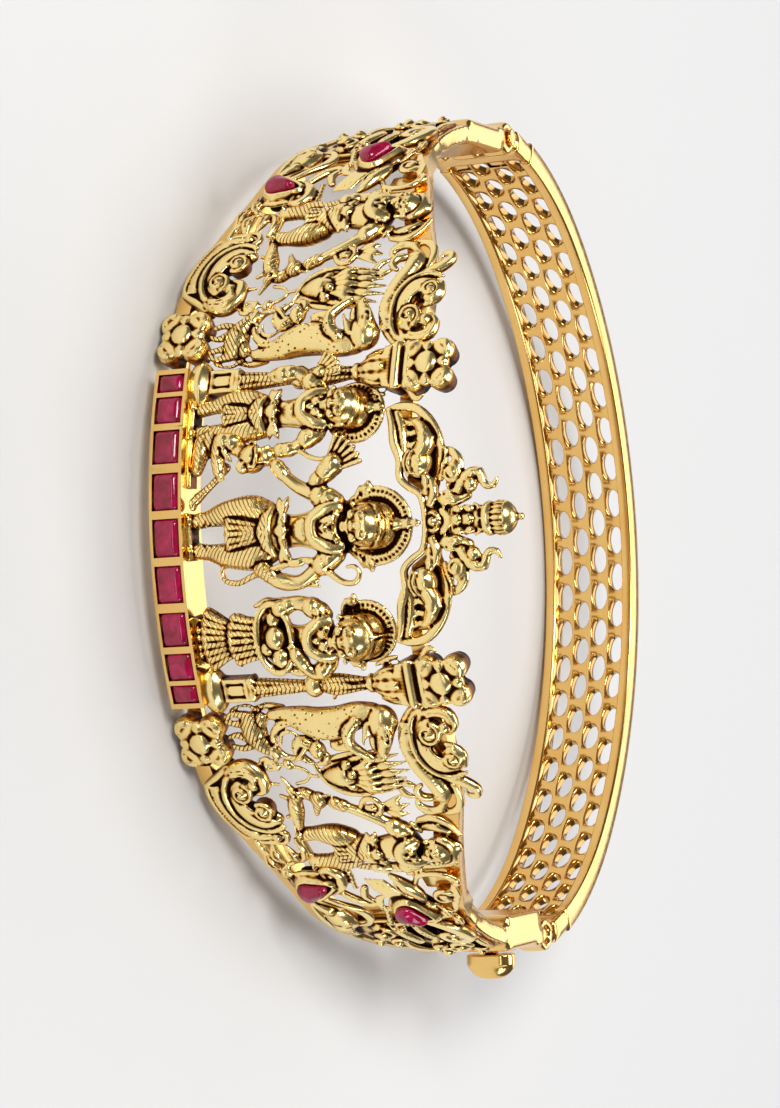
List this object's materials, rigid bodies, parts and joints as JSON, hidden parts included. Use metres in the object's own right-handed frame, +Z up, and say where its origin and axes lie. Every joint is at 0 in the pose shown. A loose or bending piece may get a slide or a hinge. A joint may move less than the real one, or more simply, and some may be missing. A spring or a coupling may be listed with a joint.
{
  "type": "hinged bangle",
  "caption": "Hinged wrist bangle: a tall cast openwork front with standing figures, pillars and scrolls over a ruby channel, a pierced back band and a screw clasp.",
  "frame": {"origin": "on the floor under the middle of the bounding box", "axes": "+Z up; the bangle lies on its lower edge with its plaque towards -Y and the hinge towards -X; +X runs to the screw clasp"},
  "size_m": [0.0648, 0.0594, 0.0282],
  "materials": {
    "polished_gold": "polished yellow gold",
    "antique_gold": "cast gold with dark patina in the recesses",
    "ruby": "polished red gemstone"
  },
  "bodies": {
    "front": {"front_frame": "polished_gold", "hinge_pin": "polished_gold", "clasp_knob": "polished_gold", "arch": "antique_gold", "finial": "antique_gold", "pillar_left": "antique_gold", "pillar_right": "antique_gold", "centre_archer": "antique_gold", "side_archer": "antique_gold", "lotus_lady": "antique_gold", "kneeling_monkey": "antique_gold", "lion_left": "antique_gold", "lion_right": "antique_gold", "plume_left": "antique_gold", "plume_right": "antique_gold", "guard_left": "antique_gold", "guard_right": "antique_gold", "scroll_low_left": "antique_gold", "scroll_low_right": "antique_gold", "scroll_top_left": "antique_gold", "scroll_top_right": "antique_gold", "flower_low_left": "antique_gold", "flower_low_right": "antique_gold", "flower_top_left": "antique_gold", "flower_top_right": "antique_gold", "peacock_left": "antique_gold", "peacock_right": "antique_gold", "ruby_1": "ruby", "ruby_2": "ruby", "ruby_3": "ruby", "ruby_4": "ruby", "ruby_5": "ruby", "ruby_6": "ruby", "ruby_7": "ruby", "ruby_8": "ruby", "ruby_9": "ruby", "cabochon_low_left": "ruby", "cabochon_low_right": "ruby", "cabochon_top_left": "ruby", "cabochon_top_right": "ruby"},
    "band": {"back_band": "polished_gold"},
    "screw": {"clasp_screw": "polished_gold"}
  },
  "joints": [
    {"name": "band_hinge", "type": "hinge", "parent": "front", "child": "band", "pos_m": [-0.03107, 0.00536, 0.00729], "axis": [0, 0.1478, 0.989], "range_deg": [0, 55]},
    {"name": "clasp_screw_turn", "type": "hinge", "parent": "front", "child": "screw", "pos_m": [0.02962, 0.00536, 0.00729], "axis": [0, 0.1478, 0.989], "continuous": true}
  ]
}
